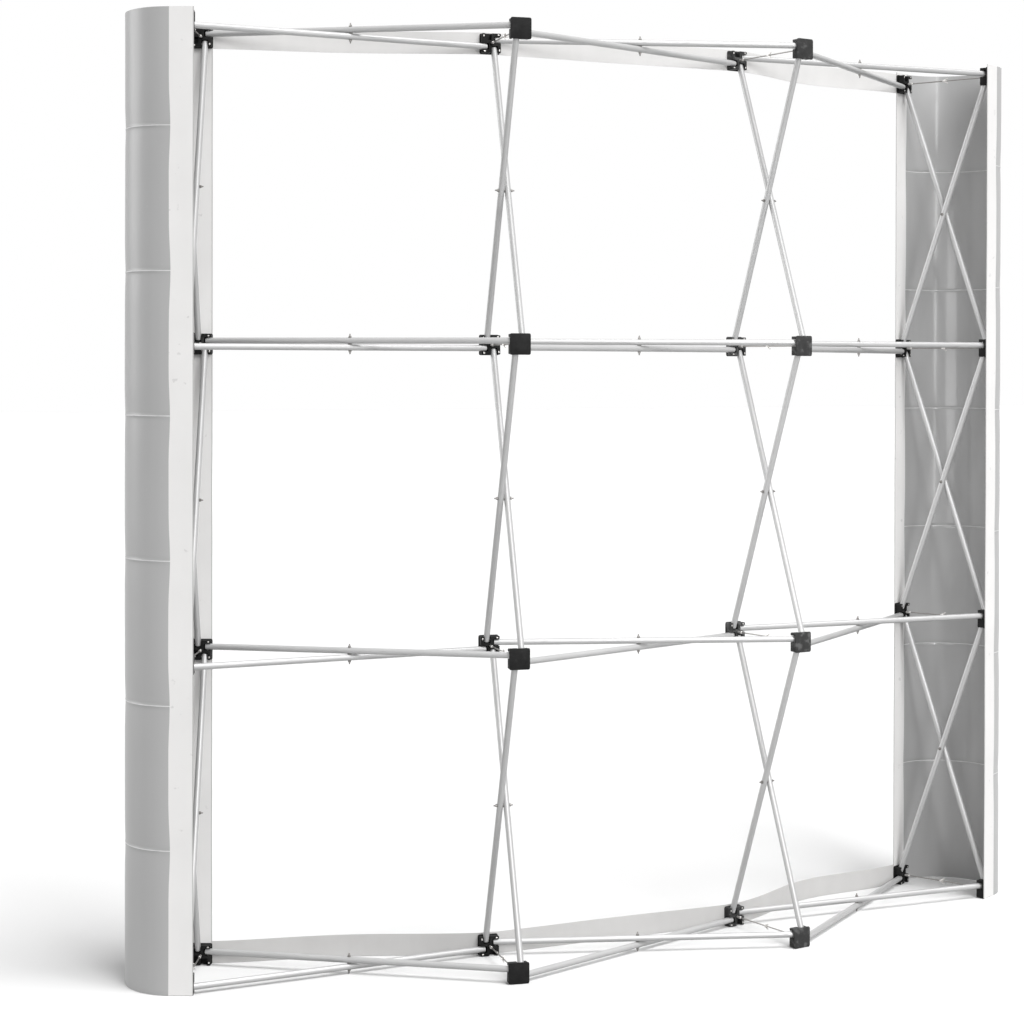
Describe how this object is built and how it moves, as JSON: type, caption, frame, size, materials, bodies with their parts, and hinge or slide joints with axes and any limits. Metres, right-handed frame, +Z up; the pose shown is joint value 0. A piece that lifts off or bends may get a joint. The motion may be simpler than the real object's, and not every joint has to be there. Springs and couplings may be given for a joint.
{
  "type": "pop up display backwall",
  "caption": "Curved pop-up exhibition backwall: a folding scissor frame of tubes and hubs with curved end panels and a band along top and bottom.",
  "frame": {"origin": "middle of the footprint, on the floor", "axes": "+Z up; the audience side, which the wall curves round, faces -Y; +X runs along the wall to the audience's right"},
  "size_m": [2.445, 0.5092, 2.2552],
  "materials": {
    "hub_plastic": "moulded black nylon, fine satin grain",
    "tube_aluminium": "drawn and clear anodised, fine lengthwise lines",
    "end_panel_sheet": "coated grey sheet with a satin sheen and pale fold lines, white hems",
    "band_sheet": "pale grey woven hook-and-loop band"
  },
  "bodies": {
    "frame": {"rear_hub_c1_r1": "hub_plastic", "front_hub_c1_r1": "hub_plastic", "rear_hub_c1_r2": "hub_plastic", "front_hub_c1_r2": "hub_plastic", "rear_hub_c1_r3": "hub_plastic", "front_hub_c1_r3": "hub_plastic", "rear_hub_c1_r4": "hub_plastic", "front_hub_c1_r4": "hub_plastic", "rear_hub_c2_r1": "hub_plastic", "front_hub_c2_r1": "hub_plastic", "rear_hub_c2_r2": "hub_plastic", "front_hub_c2_r2": "hub_plastic", "rear_hub_c2_r3": "hub_plastic", "front_hub_c2_r3": "hub_plastic", "rear_hub_c2_r4": "hub_plastic", "front_hub_c2_r4": "hub_plastic", "rear_hub_c3_r1": "hub_plastic", "front_hub_c3_r1": "hub_plastic", "rear_hub_c3_r2": "hub_plastic", "front_hub_c3_r2": "hub_plastic", "rear_hub_c3_r3": "hub_plastic", "front_hub_c3_r3": "hub_plastic", "rear_hub_c3_r4": "hub_plastic", "front_hub_c3_r4": "hub_plastic", "rear_hub_c4_r1": "hub_plastic", "front_hub_c4_r1": "hub_plastic", "rear_hub_c4_r2": "hub_plastic", "front_hub_c4_r2": "hub_plastic", "rear_hub_c4_r3": "hub_plastic", "front_hub_c4_r3": "hub_plastic", "rear_hub_c4_r4": "hub_plastic", "front_hub_c4_r4": "hub_plastic", "level_tubes_b1_r1": "tube_aluminium", "level_tubes_b1_r2": "tube_aluminium", "level_tubes_b1_r3": "tube_aluminium", "level_tubes_b1_r4": "tube_aluminium", "level_tubes_b2_r1": "tube_aluminium", "level_tubes_b2_r2": "tube_aluminium", "level_tubes_b2_r3": "tube_aluminium", "level_tubes_b2_r4": "tube_aluminium", "level_tubes_b3_r1": "tube_aluminium", "level_tubes_b3_r2": "tube_aluminium", "level_tubes_b3_r3": "tube_aluminium", "level_tubes_b3_r4": "tube_aluminium", "upright_tubes_c1_b1": "tube_aluminium", "upright_tubes_c1_b2": "tube_aluminium", "upright_tubes_c1_b3": "tube_aluminium", "upright_tubes_c2_b1": "tube_aluminium", "upright_tubes_c2_b2": "tube_aluminium", "upright_tubes_c2_b3": "tube_aluminium", "upright_tubes_c3_b1": "tube_aluminium", "upright_tubes_c3_b2": "tube_aluminium", "upright_tubes_c3_b3": "tube_aluminium", "upright_tubes_c4_b1": "tube_aluminium", "upright_tubes_c4_b2": "tube_aluminium", "upright_tubes_c4_b3": "tube_aluminium"},
    "right_end_panel": {"right_end_panel": "end_panel_sheet"},
    "left_end_panel": {"left_end_panel": "end_panel_sheet"},
    "top_band": {"top_band": "band_sheet"},
    "bottom_band": {"bottom_band": "band_sheet"}
  },
  "joints": [
    {"name": "right_end_panel_slide", "type": "slide", "parent": "frame", "child": "right_end_panel", "axis": [0.8969, -0.4423, 0], "range_m": [0, 0.15]},
    {"name": "left_end_panel_slide", "type": "slide", "parent": "frame", "child": "left_end_panel", "axis": [-0.8969, -0.4423, 0], "range_m": [0, 0.15]},
    {"name": "top_band_slide", "type": "slide", "parent": "frame", "child": "top_band", "axis": [0, -1, 0], "range_m": [0, 0.15]},
    {"name": "bottom_band_slide", "type": "slide", "parent": "frame", "child": "bottom_band", "axis": [0, -1, 0], "range_m": [0, 0.15]}
  ]
}
